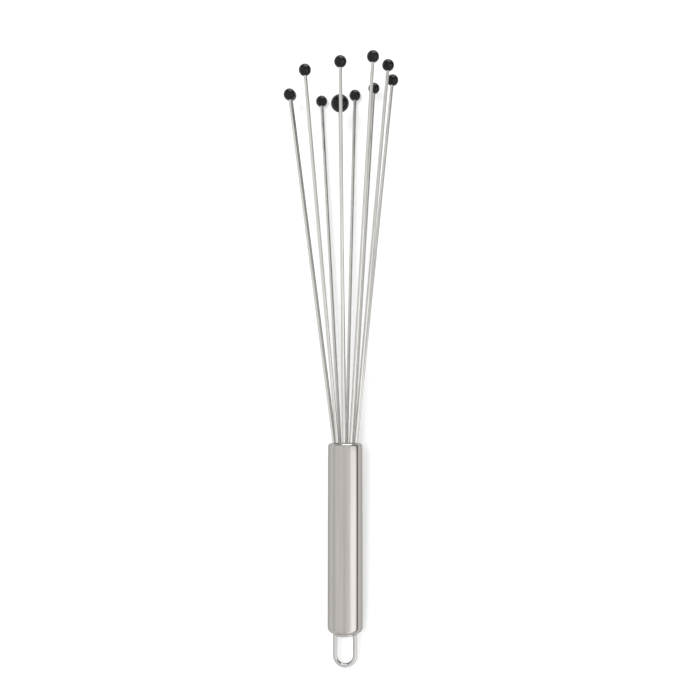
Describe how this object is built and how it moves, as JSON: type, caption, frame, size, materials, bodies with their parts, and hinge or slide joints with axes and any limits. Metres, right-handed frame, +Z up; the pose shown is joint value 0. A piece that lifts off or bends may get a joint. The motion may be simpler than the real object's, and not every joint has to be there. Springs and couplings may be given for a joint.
{
  "type": "ball whisk",
  "caption": "Whisk with a straight tube handle, a wire hanging loop and a flared ring of separate springy wires, each tipped with a ball.",
  "frame": {"origin": "on the table under the middle of the whisk's outline, as it lies at rest", "axes": "+Y from the hanging loop to the ball tips, +Z up, +X to the right of the whisk seen from above; the handle rises 4.2 degrees towards the balls"},
  "size_m": [0.0632, 0.3188, 0.0616],
  "materials": {
    "handle_steel": "fine brushing along the handle, satin",
    "holder_nylon": "moulded, matte",
    "plug_steel": "turned, satin",
    "loop_steel": "drawn wire, bright satin",
    "wire_steel": "drawn wire, bright satin",
    "ball_silicone": "moulded silicone, satin black"
  },
  "bodies": {
    "handle": {"handle_tube": "handle_steel", "wire_holder": "holder_nylon", "rear_plug": "plug_steel", "hanging_loop": "loop_steel"},
    "centre": {"centre_wire": "wire_steel", "centre_ball": "ball_silicone"},
    "outer_01": {"outer_wire_01": "wire_steel", "outer_ball_01": "ball_silicone"},
    "outer_02": {"outer_wire_02": "wire_steel", "outer_ball_02": "ball_silicone"},
    "outer_03": {"outer_wire_03": "wire_steel", "outer_ball_03": "ball_silicone"},
    "outer_04": {"outer_wire_04": "wire_steel", "outer_ball_04": "ball_silicone"},
    "outer_05": {"outer_wire_05": "wire_steel", "outer_ball_05": "ball_silicone"},
    "outer_06": {"outer_wire_06": "wire_steel", "outer_ball_06": "ball_silicone"},
    "outer_07": {"outer_wire_07": "wire_steel", "outer_ball_07": "ball_silicone"},
    "outer_08": {"outer_wire_08": "wire_steel", "outer_ball_08": "ball_silicone"},
    "outer_09": {"outer_wire_09": "wire_steel", "outer_ball_09": "ball_silicone"},
    "outer_10": {"outer_wire_10": "wire_steel", "outer_ball_10": "ball_silicone"}
  },
  "joints": [
    {"name": "flex_01", "type": "hinge", "parent": "handle", "child": "outer_01", "pos_m": [0.00765, -0.05024, 0.01457], "axis": [-0.1908, 0.0709, -0.9791], "range_deg": [-4, 5], "stiffness_Nm_per_rad": 1.45},
    {"name": "flex_02", "type": "hinge", "parent": "handle", "child": "outer_02", "pos_m": [0.00727, -0.05048, 0.01785], "axis": [0.454, 0.0716, -0.8881], "range_deg": [-4, 5], "stiffness_Nm_per_rad": 1.446},
    {"name": "flex_03", "type": "hinge", "parent": "handle", "child": "outer_03", "pos_m": [0.00492, -0.05066, 0.0203], "axis": [0.829, 0.0471, -0.5572], "range_deg": [-4, 5], "stiffness_Nm_per_rad": 1.447},
    {"name": "flex_04", "type": "hinge", "parent": "handle", "child": "outer_04", "pos_m": [0.00164, -0.05071, 0.02092], "axis": [0.9998, 0.0057, 0.0179], "range_deg": [-4, 5], "stiffness_Nm_per_rad": 1.478},
    {"name": "flex_05", "type": "hinge", "parent": "handle", "child": "outer_05", "pos_m": [-0.0013, -0.0506, 0.01952], "axis": [0.7313, -0.0431, 0.6807], "range_deg": [-4, 5], "stiffness_Nm_per_rad": 1.486},
    {"name": "flex_06", "type": "hinge", "parent": "handle", "child": "outer_06", "pos_m": [-0.00287, -0.05039, 0.01661], "axis": [0.1908, -0.0707, 0.9791], "range_deg": [-4, 5], "stiffness_Nm_per_rad": 1.541},
    {"name": "flex_07", "type": "hinge", "parent": "handle", "child": "outer_07", "pos_m": [-0.00242, -0.05014, 0.01334], "axis": [-0.3907, -0.0733, 0.9176], "range_deg": [-4, 5], "stiffness_Nm_per_rad": 1.489},
    {"name": "flex_08", "type": "hinge", "parent": "handle", "child": "outer_08", "pos_m": [-0.00028, -0.04997, 0.01097], "axis": [-0.917, -0.036, 0.3972], "range_deg": [-4, 5], "stiffness_Nm_per_rad": 1.472},
    {"name": "flex_09", "type": "hinge", "parent": "handle", "child": "outer_09", "pos_m": [0.00294, -0.04992, 0.01025], "axis": [-0.9659, 0.0137, -0.2585], "range_deg": [-4, 5], "stiffness_Nm_per_rad": 1.449},
    {"name": "flex_10", "type": "hinge", "parent": "handle", "child": "outer_10", "pos_m": [0.00607, -0.05002, 0.01164], "axis": [-0.7313, 0.0433, -0.6806], "range_deg": [-4, 5], "stiffness_Nm_per_rad": 1.444},
    {"name": "flex_centre", "type": "hinge", "parent": "handle", "child": "centre", "pos_m": [0.00232, -0.05031, 0.01559], "axis": [0, -0.0741, 0.9972], "range_deg": [-2, 2], "stiffness_Nm_per_rad": 1.577}
  ]
}
